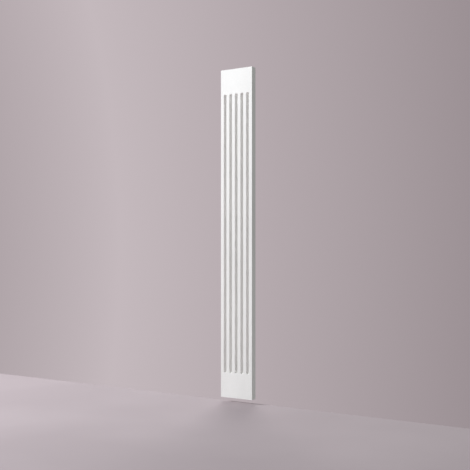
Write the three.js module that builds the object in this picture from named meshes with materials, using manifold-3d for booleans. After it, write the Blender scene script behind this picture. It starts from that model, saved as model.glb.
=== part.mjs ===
// Tall slim wall radiator: a cast mineral slab with five stopped flutes, warmed by a copper register
// set in grooves in its back, with a concealed twin-pipe valve block and four hidden hangers.
// Millimetres, +Z up, front facing -Y. The wall is the plane Y = 0.
// The origin is the middle of the upper wall rail's back face.

import * as THREE from 'three';
import { mergeVertices } from 'three/addons/utils/BufferGeometryUtils.js';
import Module from 'manifold-3d';

const wasm = await Module();
wasm.setup();

// ---- driving dimensions -------------------------------------------------------------------

const SLAB_WIDTH = 220;
const SLAB_HEIGHT = 2000;
const SLAB_DEPTH = 42;
const WALL_GAP = 10; // slab's back face to the wall
const ARRIS = 0.8; // chamfer on the slab's front edges

const FLUTE_COUNT = 5;
const FLUTE_RADIUS = 10.6;
const FLUTE_DEPTH = 10;
const FLUTE_PITCH = 39.6;
const PLAIN_END = 150; // unfluted band at each end

const TOUCH = 0.3; // gap kept between pieces that bear on each other

const RISER_RADIUS = 6;
const RISER_BORE = 5;
const HEADER_RADIUS = 9;
const HEADER_BORE = 8;
const TOP_HEADER_Z = 1880;
const LOW_HEADER_Z = 92;
const LOW_HEADER_ENDS = [12, 71]; // from the centre line outwards
const TOP_HEADER_HALF = 78;
const RISER_X = [-1.5, -0.5, 0.5, 1.5].map((n) => n * FLUTE_PITCH);

const PIPE_CENTRES = 50; // flow and return, centre to centre
const BLOCK_X = [-46, 38];
const BLOCK_Z = [28, 62];
const BLOCK_HALF_DEPTH = 14;
const HEAD_Z = 45;
const HEAD_RADIUS = 16;
const HEAD_X = [-118, -62.3];
const STEM_LIFT = 3; // stem travel from shut to open

const UPPER_RAIL_Z = 1945;
const LOWER_RAIL_Z = 200;
const RAIL_WIDTH = 206;
const RAIL_HEIGHT = 40;
const RAIL_THICK = 3;
const HANGER_X = 86;
const HOOK_WIDTH = 16;
const WALL_SCREW_X = 50;
const WALL_SCREW_RISE = 8; // wall screws above the rail's centre line

const BACK_PLATE_THICK = 1.5;
const BACK_PLATE_WIDTH = 208;
const BACK_PLATE_Z = [106, 1990];
const PLATE_SCREW_X = 98;
const PLATE_SCREW_ROWS = [330, 1000, 1670];

// ---- values worked out from them ----------------------------------------------------------

const BACK_Y = -WALL_GAP;
const FRONT_Y = BACK_Y - SLAB_DEPTH;
const LEFT_X = -SLAB_WIDTH / 2;
const TUBE_Y = BACK_Y - HEADER_RADIUS - 0.5; // one depth for the tubes, the block and the head
const PIPE_X = [-PIPE_CENTRES / 2, PIPE_CENTRES / 2];
const POCKET_Y = TUBE_Y - HEAD_RADIUS - 1; // front wall of the valve pocket

// ---- materials ----------------------------------------------------------------------------

const finish = (color, roughness, metalness) =>
  new THREE.MeshStandardMaterial({ color, roughness, metalness });

const whiteStone = finish('#f2f1ee', 0.55, 0);
const zincSteel = finish('#b9bcc0', 0.4, 0.9);
const paintedSteel = finish('#e6e6e3', 0.5, 0);
const screwSteel = finish('#a9adb3', 0.35, 0.95);
const copper = finish('#b5744f', 0.35, 0.95);
const aluminium = finish('#c9ccd0', 0.4, 0.9);
const nickelBrass = finish('#bfbab0', 0.3, 0.95);
const stainless = finish('#b2b3b5', 0.25, 0.95);
const brass = finish('#c4a05a', 0.35, 0.95);
const whitePlastic = finish('#eeeeea', 0.45, 0);
const greyNylon = finish('#8f9498', 0.6, 0);
const blackRubber = finish('#2c2c2d', 0.85, 0);

// ---- solids -------------------------------------------------------------------------------

// A three.js geometry as a closed solid, its shared vertices merged and its slivers dropped.
function solid(geometry) {
  const bare = geometry.clone();
  bare.deleteAttribute('normal');
  bare.deleteAttribute('uv');
  const merged = mergeVertices(bare, 1e-5);
  const index = merged.getIndex().array;
  const triVerts = [];
  for (let i = 0; i < index.length; i += 3) {
    const [a, b, c] = index.slice(i, i + 3);
    if (a !== b && b !== c && a !== c) {
      triVerts.push(a, b, c);
    }
  }
  return new wasm.Manifold(new wasm.Mesh({
    numProp: 3,
    vertProperties: new Float32Array(merged.getAttribute('position').array),
    triVerts: new Uint32Array(triVerts),
  }));
}

const join = (...parts) => parts.reduce((whole, part) => whole.add(part));
const cut = (whole, ...tools) => tools.reduce((rest, tool) => rest.subtract(tool), whole);

function box([x0, x1], [y0, y1], [z0, z1]) {
  const geometry = new THREE.BoxGeometry(x1 - x0, y1 - y0, z1 - z0);
  return solid(geometry.translate((x0 + x1) / 2, (y0 + y1) / 2, (z0 + z1) / 2));
}

// Turns a geometry made along +Z so that it runs along the named axis.
const alongAxis = {
  x: (geometry) => geometry.rotateY(Math.PI / 2),
  y: (geometry) => geometry.rotateX(-Math.PI / 2),
  z: (geometry) => geometry,
};

// A round or many-sided rod from one place to another along an axis. centre gives the other two.
function rod(axis, [from, to], radius, centre, sides = 24) {
  const geometry = new THREE.CylinderGeometry(radius, radius, to - from, sides);
  geometry.rotateX(Math.PI / 2);
  geometry.translate(0, 0, (from + to) / 2);
  alongAxis[axis](geometry);
  return solid(geometry.translate(...centre));
}

function pipe(axis, ends, outer, inner, centre, sides = 16) {
  const past = [ends[0] - 1, ends[1] + 1];
  return rod(axis, ends, outer, centre, sides).subtract(rod(axis, past, inner, centre, sides));
}

// An outline in the plane across an axis, pulled along it.
function extrude(points, [from, to], axis = 'z') {
  const shape = new THREE.Shape(points.map(([u, v]) => new THREE.Vector2(u, v)));
  const geometry = new THREE.ExtrudeGeometry(shape, { depth: to - from, bevelEnabled: false });
  geometry.translate(0, 0, from);
  if (axis === 'x') {
    // outline given as (y, z)
    const turn = new THREE.Matrix4().set(0, 0, 1, 0, 1, 0, 0, 0, 0, 1, 0, 0, 0, 0, 0, 1);
    geometry.applyMatrix4(turn);
  }
  return solid(geometry);
}

const arcPoints = (cx, cy, radius, start, end, steps) =>
  Array.from({ length: steps + 1 }, (_, i) => {
    const angle = start + ((end - start) * i) / steps;
    return [cx + radius * Math.cos(angle), cy + radius * Math.sin(angle)];
  });

// ---- assembly -----------------------------------------------------------------------------

// Everything is placed from the slab's bottom edge, then lowered to the upper rail's origin.
const radiator = new THREE.Group();
const register = new THREE.Group();
const valve = new THREE.Group();
const hangers = new THREE.Group();
const wallFixings = new THREE.Group();
radiator.add(register, valve, hangers, wallFixings);
radiator.position.z = -UPPER_RAIL_Z;

function place(group, name, shape, material) {
  const { vertProperties, triVerts } = shape.getMesh();
  const geometry = new THREE.BufferGeometry();
  geometry.setAttribute('position', new THREE.BufferAttribute(vertProperties, 3));
  geometry.setIndex(new THREE.BufferAttribute(triVerts, 1));
  geometry.computeVertexNormals();
  const mesh = new THREE.Mesh(geometry, material);
  mesh.name = name;
  group.add(mesh);
}

// ---- front slab ---------------------------------------------------------------------------

// Ball-ended cutter for one flute. Its axis stands just in front of the slab's face.
function fluteCutter(x) {
  const stand = FLUTE_RADIUS - FLUTE_DEPTH;
  const halfWidth = Math.sqrt(FLUTE_RADIUS ** 2 - stand ** 2);
  const straight = SLAB_HEIGHT - 2 * PLAIN_END - 2 * halfWidth;
  const geometry = new THREE.CapsuleGeometry(FLUTE_RADIUS, straight, 6, 32);
  geometry.rotateX(Math.PI / 2);
  return solid(geometry.translate(x, FRONT_Y - stand, SLAB_HEIGHT / 2));
}

// Round-bottomed groove for a riser and its heat channel.
function riserGroove(x) {
  const radius = RISER_RADIUS + 1.6;
  const arc = arcPoints(x, TUBE_Y, radius, Math.PI, 2 * Math.PI, 10);
  const outline = [[x - radius, BACK_Y + 1], ...arc, [x + radius, BACK_Y + 1]];
  return extrude(outline, [LOW_HEADER_Z, TOP_HEADER_Z]);
}

// Left and right places on each of a list of heights.
const inPairs = (halfSpacing, heights) =>
  heights.flatMap((z) => [-1, 1].map((side) => ({ x: side * halfSpacing, z })));

const hangerPlaces = inPairs(HANGER_X, [UPPER_RAIL_Z, LOWER_RAIL_Z]);
const plateScrewPlaces = inPairs(PLATE_SCREW_X, PLATE_SCREW_ROWS);
const KEY_HOLE_RADIUS = 6; // for a screwdriver, up through the slab's bottom edge

const HANGER_HALF_WIDTH = 14;
const HANGER_HALF_HEIGHT = 30;
const HANGER_THICK = 4;
const HANGER_SCREW_RISE = 22; // hanger screws above and below the hook's seat
const HANGER_SCREW_DEPTH = 16;

function hangerRecess({ x, z }) {
  const seat = box(
    [x - HANGER_HALF_WIDTH - 0.5, x + HANGER_HALF_WIDTH + 0.5],
    [BACK_Y - HANGER_THICK - 2 * TOUCH, BACK_Y + 1],
    [z - HANGER_HALF_HEIGHT - 0.5, z + HANGER_HALF_HEIGHT + 0.5],
  );
  const hookPocket = box([x - 10, x + 10], [BACK_Y - 13, BACK_Y + 1], [z - 16, z + 15]);
  const screwHoles = [-1, 1].map((side) => {
    const depth = [BACK_Y - HANGER_SCREW_DEPTH - 1, BACK_Y];
    return rod('y', depth, 2.8, [x, 0, z + side * HANGER_SCREW_RISE], 12);
  });
  return join(seat, hookPocket, ...screwHoles);
}

function frontSlab() {
  const right = -LEFT_X;
  const outline = [
    [LEFT_X, BACK_Y], [LEFT_X, FRONT_Y + ARRIS], [LEFT_X + ARRIS, FRONT_Y],
    [right - ARRIS, FRONT_Y], [right, FRONT_Y + ARRIS], [right, BACK_Y],
  ];
  const flutes = [];
  for (let n = 0; n < FLUTE_COUNT; n += 1) {
    flutes.push(fluteCutter((n - (FLUTE_COUNT - 1) / 2) * FLUTE_PITCH));
  }
  const headerY = [TUBE_Y - HEADER_RADIUS - 1, BACK_Y + 1];
  const around = (z) => [z - HEADER_RADIUS - 1, z + HEADER_RADIUS + 1];
  const topGroove = box([LEFT_X - 1, TOP_HEADER_HALF + 3], headerY, around(TOP_HEADER_Z));
  const lowEnd = LOW_HEADER_ENDS[1] + 1;
  const lowGroove = box([-lowEnd, lowEnd], headerY, around(LOW_HEADER_Z));
  const pocketY = [POCKET_Y, BACK_Y + 1];
  const pocketEnd = BLOCK_X[1] + 3;
  const tailGroove = box([-pocketEnd, pocketEnd], pocketY, [BLOCK_Z[1], LOW_HEADER_Z]);
  const pocketZ = [HEAD_Z - HEAD_RADIUS - 2, HEAD_Z + HEAD_RADIUS + 6];
  const pocket = box([LEFT_X - 1, pocketEnd], pocketY, pocketZ);
  const keyHoles = PIPE_X.map((x) =>
    rod('z', [-1, pocketZ[0] + 1], KEY_HOLE_RADIUS, [x, TUBE_Y, 0]));
  const plateScrewY = [BACK_Y - 9, BACK_Y + 1];
  const screwHoles = plateScrewPlaces.map(({ x, z }) => rod('y', plateScrewY, 2, [x, 0, z], 12));
  return cut(
    extrude(outline, [0, SLAB_HEIGHT]),
    ...flutes,
    ...RISER_X.map(riserGroove),
    topGroove, lowGroove, tailGroove, pocket,
    ...keyHoles,
    ...hangerPlaces.map(hangerRecess),
    ...screwHoles,
  );
}

place(radiator, 'front_slab', frontSlab(), whiteStone);

// ---- copper register ----------------------------------------------------------------------

// Horizontal header tube. Risers enter it from one side and the tails from the other.
function header(ends, z, boreEnds, holes) {
  const shell = rod('x', ends, HEADER_RADIUS, [0, TUBE_Y, z], 20);
  const bore = rod('x', boreEnds, HEADER_BORE, [0, TUBE_Y, z], 20);
  const sockets = holes.map(({ x, up }) => {
    const span = up ? [z, z + HEADER_RADIUS + 1] : [z - HEADER_RADIUS - 1, z];
    return rod('z', span, RISER_RADIUS + TOUCH, [x, TUBE_Y, 0], 16);
  });
  return cut(shell, bore, ...sockets);
}

const topSpan = [-TOP_HEADER_HALF, TOP_HEADER_HALF];
const pastTop = [-TOP_HEADER_HALF - 1, TOP_HEADER_HALF + 1];
const topHoles = RISER_X.map((x) => ({ x, up: false }));
place(register, 'top_header', header(topSpan, TOP_HEADER_Z, pastTop, topHoles), copper);

for (const [name, side] of [['flow_header', -1], ['return_header', 1]]) {
  const span = LOW_HEADER_ENDS.map((x) => side * x).sort((a, b) => a - b);
  const bore = [span[0] + 1.5, span[1] - 1.5];
  const holes = RISER_X.filter((x) => x * side > 0).map((x) => ({ x, up: true }));
  holes.push({ x: (side * PIPE_CENTRES) / 2, up: false });
  place(register, name, header(span, LOW_HEADER_Z, bore, holes), copper);
}

const riserSpan = [LOW_HEADER_Z + HEADER_BORE - 0.5, TOP_HEADER_Z - HEADER_BORE + 0.5];
RISER_X.forEach((x, i) => {
  const riser = pipe('z', riserSpan, RISER_RADIUS, RISER_BORE, [x, TUBE_Y, 0]);
  place(register, `riser_${i + 1}`, riser, copper);
});

// Pressed channel that carries heat from a riser into the stone.
RISER_X.forEach((x, i) => {
  const outer = RISER_RADIUS + 1.3;
  const inner = RISER_RADIUS + TOUCH;
  const lip = BACK_Y - TOUCH;
  const outline = [
    [x - outer, lip], ...arcPoints(x, TUBE_Y, outer, Math.PI, 2 * Math.PI, 10), [x + outer, lip],
    [x + inner, lip], ...arcPoints(x, TUBE_Y, inner, 2 * Math.PI, Math.PI, 10), [x - inner, lip],
  ];
  const span = [LOW_HEADER_Z + HEADER_RADIUS + 2, TOP_HEADER_Z - HEADER_RADIUS - 2];
  place(register, `heat_channel_${i + 1}`, extrude(outline, span), aluminium);
});

const topAxis = [0, TUBE_Y, TOP_HEADER_Z];

function headerPlug() {
  const spigot = [TOP_HEADER_HALF - 8, TOP_HEADER_HALF + 1];
  const flange = [TOP_HEADER_HALF + TOUCH, TOP_HEADER_HALF + 2.3];
  return join(
    rod('x', spigot, HEADER_BORE - TOUCH, topAxis),
    rod('x', flange, HEADER_RADIUS, topAxis),
  );
}

place(register, 'header_plug', headerPlug(), copper);

// Air vent in the header's left end, reached with a square key from the slab's left edge.
const VENT_FACE = -TOP_HEADER_HALF - TOUCH;

function ventBush() {
  const body = join(
    rod('x', [-TOP_HEADER_HALF - 1, -TOP_HEADER_HALF + 8], HEADER_BORE - TOUCH, topAxis),
    rod('x', [VENT_FACE - 6, VENT_FACE], 9, topAxis, 6),
    rod('x', [VENT_FACE - 18, VENT_FACE - 5], 5.5, topAxis),
  );
  const screwBore = rod('x', [VENT_FACE - 19, VENT_FACE - 7], 2.9, topAxis);
  return cut(body, screwBore, rod('x', [VENT_FACE - 8, -TOP_HEADER_HALF + 9], 1.5, topAxis, 12));
}

function bleedScrew() {
  return join(
    rod('x', [VENT_FACE - 18.5, VENT_FACE - 7.5], 2.7, topAxis),
    rod('x', [VENT_FACE - 26, VENT_FACE - 18.4], 3.4, topAxis, 4),
  );
}

place(register, 'vent_bush', ventBush(), brass);
place(register, 'bleed_screw', bleedScrew(), nickelBrass);

// ---- valve block and tails ----------------------------------------------------------------

const NUT_Z = [BLOCK_Z[1] + TOUCH, BLOCK_Z[1] + 14];
const TAIL_Z = [BLOCK_Z[1] - 9, LOW_HEADER_Z - HEADER_BORE + 0.5];

['flow', 'return'].forEach((line, i) => {
  const centre = [PIPE_X[i], TUBE_Y, 0];
  place(valve, `${line}_tail`, pipe('z', TAIL_Z, RISER_RADIUS, RISER_BORE, centre), copper);
  const nut = rod('z', NUT_Z, 12.5, centre, 6);
  const nutBore = rod('z', [NUT_Z[0] - 1, NUT_Z[1] + 1], RISER_RADIUS + TOUCH, centre, 16);
  place(valve, `${line}_union_nut`, nut.subtract(nutBore), nickelBrass);
});

const SEAT_X = -33;
const NIPPLE_RADIUS = 13;
const NIPPLE_BORE = 5.5;
const NIPPLE_END = 8; // the pipe nipples end in the wall's pipe recess
const SPINDLE_RADIUS = 5;
const SPINDLE_TOP = BLOCK_Z[0] + 11;
const INSERT_PORT = 9; // radius of the port that takes the valve insert
const HEAD_NECK = 10; // radius of the insert's neck, which the head nut grips
const STEM_RADIUS = 2.4;
const headAxis = [0, TUBE_Y, HEAD_Z];

function valveBlock() {
  const y = [TUBE_Y - BLOCK_HALF_DEPTH, TUBE_Y + BLOCK_HALF_DEPTH];
  const corner = 4;
  const [x0, x1] = BLOCK_X;
  const outline = [
    ...arcPoints(x1 - corner, y[1] - corner, corner, 0, Math.PI / 2, 3),
    ...arcPoints(x0 + corner, y[1] - corner, corner, Math.PI / 2, Math.PI, 3),
    ...arcPoints(x0 + corner, y[0] + corner, corner, Math.PI, 1.5 * Math.PI, 3),
    ...arcPoints(x1 - corner, y[0] + corner, corner, 1.5 * Math.PI, 2 * Math.PI, 3),
  ];
  const nipples = PIPE_X.map((x) => rod('y', [y[1] - 1, NIPPLE_END], NIPPLE_RADIUS, [x, 0, HEAD_Z], 12));
  const tools = PIPE_X.flatMap((x) => [
    rod('z', [SPINDLE_TOP, BLOCK_Z[1] + 1], RISER_BORE, [x, TUBE_Y, 0], 16),
    rod('z', [TAIL_Z[0] - TOUCH, BLOCK_Z[1] + 1], RISER_RADIUS + TOUCH, [x, TUBE_Y, 0], 16),
    rod('z', [BLOCK_Z[0] - 1, SPINDLE_TOP + 1], SPINDLE_RADIUS + 0.2, [x, TUBE_Y, 0], 20),
    rod('y', [TUBE_Y, NIPPLE_END + 1], NIPPLE_BORE, [x, 0, HEAD_Z], 12),
  ]);
  tools.push(rod('x', [x0 - 1, SEAT_X], INSERT_PORT, headAxis));
  tools.push(rod('x', [SEAT_X - 1, PIPE_X[0]], 4, headAxis));
  return cut(join(extrude(outline, BLOCK_Z), ...nipples), ...tools);
}

place(valve, 'valve_block', valveBlock(), nickelBrass);

// Quarter-turn shut-off spindle, slotted for a screwdriver, under each pipe.
['flow', 'return'].forEach((line, i) => {
  const centre = [PIPE_X[i], TUBE_Y, 0];
  const spindle = rod('z', [BLOCK_Z[0] - 1.5, SPINDLE_TOP - 1], SPINDLE_RADIUS, centre, 20);
  const slot = box(
    [PIPE_X[i] - 0.8, PIPE_X[i] + 0.8],
    [TUBE_Y - SPINDLE_RADIUS - 1, TUBE_Y + SPINDLE_RADIUS + 1],
    [BLOCK_Z[0] - 3, BLOCK_Z[0] + 1],
  );
  place(valve, `${line}_shutoff_spindle`, spindle.subtract(slot), brass);
});

// Valve insert, screwed into the block's left end, with the stem that lifts off the seat.
function valveInsert() {
  const face = BLOCK_X[0] - TOUCH;
  const body = join(
    rod('x', [face, SEAT_X - STEM_LIFT - 3], INSERT_PORT - TOUCH, headAxis),
    rod('x', [face - 5, face], 13, headAxis, 6),
    rod('x', [face - 12, face - 4], HEAD_NECK, headAxis),
  );
  return cut(body, rod('x', [face - 13, SEAT_X], STEM_RADIUS + TOUCH, headAxis));
}

function valveStem() {
  return join(
    rod('x', [SEAT_X - TOUCH - 2, SEAT_X - TOUCH], 6, headAxis),
    rod('x', [HEAD_X[1] - 1, SEAT_X - TOUCH - 1], STEM_RADIUS, headAxis),
  );
}

place(valve, 'valve_insert', valveInsert(), nickelBrass);
place(valve, 'valve_stem', valveStem(), stainless);

const HEAD_NUT_X = [HEAD_X[1] + TOUCH, BLOCK_X[0] - 5 - 2 * TOUCH];
const headNut = pipe('x', HEAD_NUT_X, 14.5, HEAD_NECK + TOUCH, headAxis, 24);
place(valve, 'head_nut', headNut, nickelBrass);

// Thermostatic head: a ribbed grip with a rounded end, hollow where the stem comes in.
function thermostaticHead() {
  const ribs = 14;
  const valley = 1.1; // depth of the finger grooves between the ribs
  const outline = [];
  for (let n = 0; n < ribs; n += 1) {
    for (const [offset, drop] of [[0, 0], [0.3, 0], [0.5, valley], [0.8, valley]]) {
      const angle = (2 * Math.PI * (n + offset)) / ribs;
      const radius = HEAD_RADIUS - drop;
      outline.push([TUBE_Y + radius * Math.cos(angle), HEAD_Z + radius * Math.sin(angle)]);
    }
  }
  const round = 5;
  const profile = [
    [0, HEAD_X[0]],
    ...arcPoints(HEAD_RADIUS - round, HEAD_X[0] + round, round, 1.5 * Math.PI, 2 * Math.PI, 3),
    [HEAD_RADIUS, HEAD_X[1] - 1.5], [HEAD_RADIUS - 1.5, HEAD_X[1]], [0, HEAD_X[1]],
  ];
  const turned = new THREE.LatheGeometry(profile.map(([r, x]) => new THREE.Vector2(r, x)), 28);
  turned.rotateZ(-Math.PI / 2);
  const envelope = solid(turned.translate(...headAxis));
  const grip = extrude(outline, HEAD_X, 'x').intersect(envelope);
  const stemRoom = HEAD_X[1] - 1 - STEM_LIFT - 4;
  return grip.subtract(rod('x', [stemRoom, HEAD_X[1] + 1], 8, headAxis));
}

place(valve, 'thermostatic_head', thermostaticHead(), whitePlastic);

// ---- hangers on the slab ------------------------------------------------------------------

const SLOT_HALF_WIDTH = 9.5;
const SLOT_DROP = 15; // height of the hook slot below the hook's seat

function hangerPlate({ x, z }) {
  const y = [BACK_Y - TOUCH - HANGER_THICK, BACK_Y - TOUCH];
  const plate = box(
    [x - HANGER_HALF_WIDTH, x + HANGER_HALF_WIDTH],
    y,
    [z - HANGER_HALF_HEIGHT, z + HANGER_HALF_HEIGHT],
  );
  const slot = box(
    [x - SLOT_HALF_WIDTH, x + SLOT_HALF_WIDTH],
    [y[0] - 1, y[1] + 1],
    [z - SLOT_DROP, z + TOUCH],
  );
  const holes = [-1, 1].map((side) =>
    rod('y', [y[0] - 1, y[1] + 1], 2.8, [x, 0, z + side * HANGER_SCREW_RISE], 12));
  return cut(plate, slot, ...holes);
}

// Pan-head screw lying along Y: its head's seat is at seatY and its shank runs towards -Y or +Y.
function screw({ x, z, seatY, towards, shank, length, head, headHeight }) {
  const span = (near, far) => [seatY + towards * near, seatY + towards * far].sort((a, b) => a - b);
  const centre = [x, 0, z];
  const body = rod('y', span(-0.1, length), shank, centre, 12);
  const top = rod('y', span(-headHeight, 0), head, centre, 16);
  const drive = rod('y', span(-headHeight - 1, -headHeight * 0.4), head * 0.45, centre, 6);
  return cut(join(body, top), drive);
}

let hangerScrewNumber = 0;
hangerPlaces.forEach((spot, i) => {
  place(hangers, `hanger_plate_${i + 1}`, hangerPlate(spot), zincSteel);
  for (const side of [-1, 1]) {
    hangerScrewNumber += 1;
    const screwAt = {
      x: spot.x, z: spot.z + side * HANGER_SCREW_RISE, seatY: BACK_Y, towards: -1,
      shank: 2.5, length: HANGER_SCREW_DEPTH, head: 4.5, headHeight: 2.4,
    };
    place(hangers, `hanger_screw_${hangerScrewNumber}`, screw(screwAt), screwSteel);
  }
});

// ---- back plate ---------------------------------------------------------------------------

const PLATE_Y = [BACK_Y + TOUCH, BACK_Y + TOUCH + BACK_PLATE_THICK];

function backPlate() {
  const half = BACK_PLATE_WIDTH / 2;
  const through = [PLATE_Y[0] - 1, PLATE_Y[1] + 1];
  const windows = hangerPlaces.map(({ x, z }) => {
    const halfWidth = HANGER_HALF_WIDTH + 2;
    const halfHeight = HANGER_HALF_HEIGHT + 2;
    return box([x - halfWidth, x + halfWidth], through, [z - halfHeight, z + halfHeight]);
  });
  const holes = plateScrewPlaces.map(({ x, z }) => rod('y', through, 2, [x, 0, z], 12));
  return cut(box([-half, half], PLATE_Y, BACK_PLATE_Z), ...windows, ...holes);
}

place(radiator, 'back_plate', backPlate(), zincSteel);

plateScrewPlaces.forEach(({ x, z }, i) => {
  const screwAt = {
    x, z, seatY: PLATE_Y[1] + TOUCH, towards: -1, shank: 1.7, length: 9.5, head: 3.6, headHeight: 2,
  };
  place(radiator, `back_plate_screw_${i + 1}`, screw(screwAt), screwSteel);
});

// Soft buffers that keep the slab's lower half from knocking on the wall.
[['left', -1], ['right', 1]].forEach(([side, sign]) => {
  const buffer = rod('y', [PLATE_Y[1] + TOUCH, 0], 9, [sign * FLUTE_PITCH, 0, LOWER_RAIL_Z + 60]);
  place(radiator, `wall_buffer_${side}`, buffer, blackRubber);
});

// ---- rails on the wall --------------------------------------------------------------------

// Folded rail with two upturned hooks, each bent out of the window above its seat.
function wallRail(z) {
  const halfWidth = RAIL_WIDTH / 2;
  const halfHeight = RAIL_HEIGHT / 2;
  const plate = box([-halfWidth, halfWidth], [-RAIL_THICK, 0], [z - halfHeight, z + halfHeight]);
  const lipY = BACK_Y - HANGER_THICK - 2.5;
  const hookOutline = [
    [-RAIL_THICK + 1, z - RAIL_THICK], [lipY, z - RAIL_THICK],
    ...arcPoints(lipY, z, RAIL_THICK, 1.5 * Math.PI, Math.PI, 4),
    [lipY - RAIL_THICK, z + 9], [lipY, z + 10], [lipY, z], [-RAIL_THICK + 1, z],
  ];
  const hooks = [-1, 1].map((side) => {
    const middle = side * HANGER_X;
    return extrude(hookOutline, [middle - HOOK_WIDTH / 2, middle + HOOK_WIDTH / 2], 'x');
  });
  const openings = [-1, 1].flatMap((side) => [
    rod('y', [-RAIL_THICK - 1, 1], 3.5, [side * WALL_SCREW_X, 0, z + WALL_SCREW_RISE], 16),
    box(
      [side * HANGER_X - 9, side * HANGER_X + 9],
      [-RAIL_THICK - 1, 1],
      [z + TOUCH, z + halfHeight - 5],
    ),
  ]);
  return join(cut(plate, ...openings), ...hooks);
}

const PLUG_Y = [2.5, 50]; // tapped in just below the wall's face

// Nylon wall plug: a plain sleeve, slit over its far end so that it can spread.
function wallPlug(x, z) {
  const sleeve = pipe('y', PLUG_Y, 5, 3.3, [x, 0, z], 16);
  const slit = box([x - 0.6, x + 0.6], [PLUG_Y[1] * 0.4, PLUG_Y[1] + 1], [z - 6, z + 6]);
  return sleeve.subtract(slit);
}

const railPlaces = [['upper', UPPER_RAIL_Z], ['lower', LOWER_RAIL_Z]];
let wallScrewNumber = 0;
for (const [name, z] of railPlaces) {
  place(wallFixings, `${name}_wall_rail`, wallRail(z), paintedSteel);
  for (const side of [-1, 1]) {
    wallScrewNumber += 1;
    const x = side * WALL_SCREW_X;
    const screwZ = z + WALL_SCREW_RISE;
    const screwAt = {
      x, z: screwZ, seatY: -RAIL_THICK - TOUCH, towards: 1,
      shank: 3, length: 48, head: 6.5, headHeight: 4,
    };
    place(wallFixings, `wall_screw_${wallScrewNumber}`, screw(screwAt), screwSteel);
    place(wallFixings, `wall_plug_${wallScrewNumber}`, wallPlug(x, screwZ), greyNylon);
  }
}

const model = new THREE.Group();
model.add(radiator);
export default model;
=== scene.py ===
"""Tall fluted radiator on its wall rails, with its copper register, valve and air vent.

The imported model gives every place. Sizes here are millimetres, turned to metres with MM.
"""

import math

import bmesh
import bpy
from mathutils import Matrix, Vector


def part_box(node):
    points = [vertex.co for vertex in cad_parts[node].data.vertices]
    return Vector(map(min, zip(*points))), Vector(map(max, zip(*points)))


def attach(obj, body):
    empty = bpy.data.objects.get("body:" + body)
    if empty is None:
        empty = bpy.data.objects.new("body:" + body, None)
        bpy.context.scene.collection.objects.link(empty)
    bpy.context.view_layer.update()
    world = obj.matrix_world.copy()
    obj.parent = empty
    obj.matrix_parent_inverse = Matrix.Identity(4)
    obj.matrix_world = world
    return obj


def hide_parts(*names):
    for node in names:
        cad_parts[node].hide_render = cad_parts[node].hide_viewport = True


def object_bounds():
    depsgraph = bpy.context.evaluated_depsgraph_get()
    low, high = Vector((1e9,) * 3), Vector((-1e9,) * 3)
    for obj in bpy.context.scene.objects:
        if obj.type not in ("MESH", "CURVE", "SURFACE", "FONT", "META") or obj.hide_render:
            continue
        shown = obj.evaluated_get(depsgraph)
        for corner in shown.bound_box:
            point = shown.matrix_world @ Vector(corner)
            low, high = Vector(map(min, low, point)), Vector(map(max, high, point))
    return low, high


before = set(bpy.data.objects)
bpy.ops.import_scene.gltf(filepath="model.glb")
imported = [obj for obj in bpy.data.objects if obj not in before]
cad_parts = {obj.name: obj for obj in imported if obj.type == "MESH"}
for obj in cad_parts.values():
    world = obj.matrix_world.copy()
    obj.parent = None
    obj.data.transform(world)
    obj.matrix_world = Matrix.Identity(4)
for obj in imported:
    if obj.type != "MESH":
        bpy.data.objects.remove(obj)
CAD_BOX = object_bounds()

MM = 0.001
TURN = 2 * math.pi
FIXED = "radiator"  # the body of everything that stays put

# ---- camera, light and floor ----------------------------------------------------------------

VIEW_ANGLE = 31.6  # degrees to the right of straight on
CAMERA_AT = (2.536, -4.189, -1.034)
LENS = 61.3
RISE = 0.028  # how far the picture is shifted up

KEY_AZIMUTH = 56.0  # degrees to the left of straight on
KEY_HEIGHT = 25.0
KEY_DISTANCE = 7.5
KEY_RADIUS = 0.9
KEY_POWER = 660.0

FILL_AZIMUTH = 150.0  # a weak light behind, so that the back can be read
FILL_HEIGHT = 35.0
FILL_DISTANCE = 4.5
FILL_RADIUS = 1.3
FILL_POWER = 110.0

SURROUND_LIGHT = 0.39  # how strongly the surround lights the scene

FLOOR_DROP = 29 * MM  # from the slab's bottom edge
FLOOR_REACH = 9.0
AIM = Vector((0, 0, -0.95))  # the slab's middle, where the lights point


def linear(code):
    """A colour given as sRGB hex, as the linear RGBA that nodes take."""
    parts = [int(code[i:i + 2], 16) / 255 for i in (1, 3, 5)]
    return [c / 12.92 if c <= 0.04045 else ((c + 0.055) / 1.055) ** 2.4 for c in parts] + [1.0]


def node(tree, kind, inputs=None, **settings):
    """Adds a node, with its settings, and its inputs as values or as links from other sockets."""
    made = tree.nodes.new(kind)
    for name, value in settings.items():
        setattr(made, name, value)
    for name, value in (inputs or {}).items():
        if isinstance(value, bpy.types.NodeSocket):
            tree.links.new(value, made.inputs[name])
        else:
            made.inputs[name].default_value = value
    return made


def new_object(name, data):
    made = bpy.data.objects.new(name, data)
    bpy.context.scene.collection.objects.link(made)
    return made


def set_camera():
    data = bpy.data.cameras.new("camera")
    data.lens = LENS
    data.sensor_width = 36.0
    data.shift_y = RISE
    camera = new_object("camera", data)
    camera.location = CAMERA_AT
    camera.rotation_euler = (math.pi / 2, 0, math.radians(VIEW_ANGLE))
    bpy.context.scene.camera = camera


def disk_light(name, azimuth, height, distance, radius, power, colour):
    """A round soft light aimed at the slab's middle, azimuth degrees to the left of its front."""
    data = bpy.data.lights.new(name, "AREA")
    data.shape = "DISK"
    data.size = 2 * radius
    data.energy = power
    data.color = linear(colour)[:3]
    light = new_object(name, data)
    side, up = math.radians(azimuth), math.radians(height)
    away = Vector((-math.sin(side) * math.cos(up), -math.cos(side) * math.cos(up), math.sin(up)))
    light.location = AIM + away * distance
    light.rotation_euler = away.to_track_quat("Z", "Y").to_euler()


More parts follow.
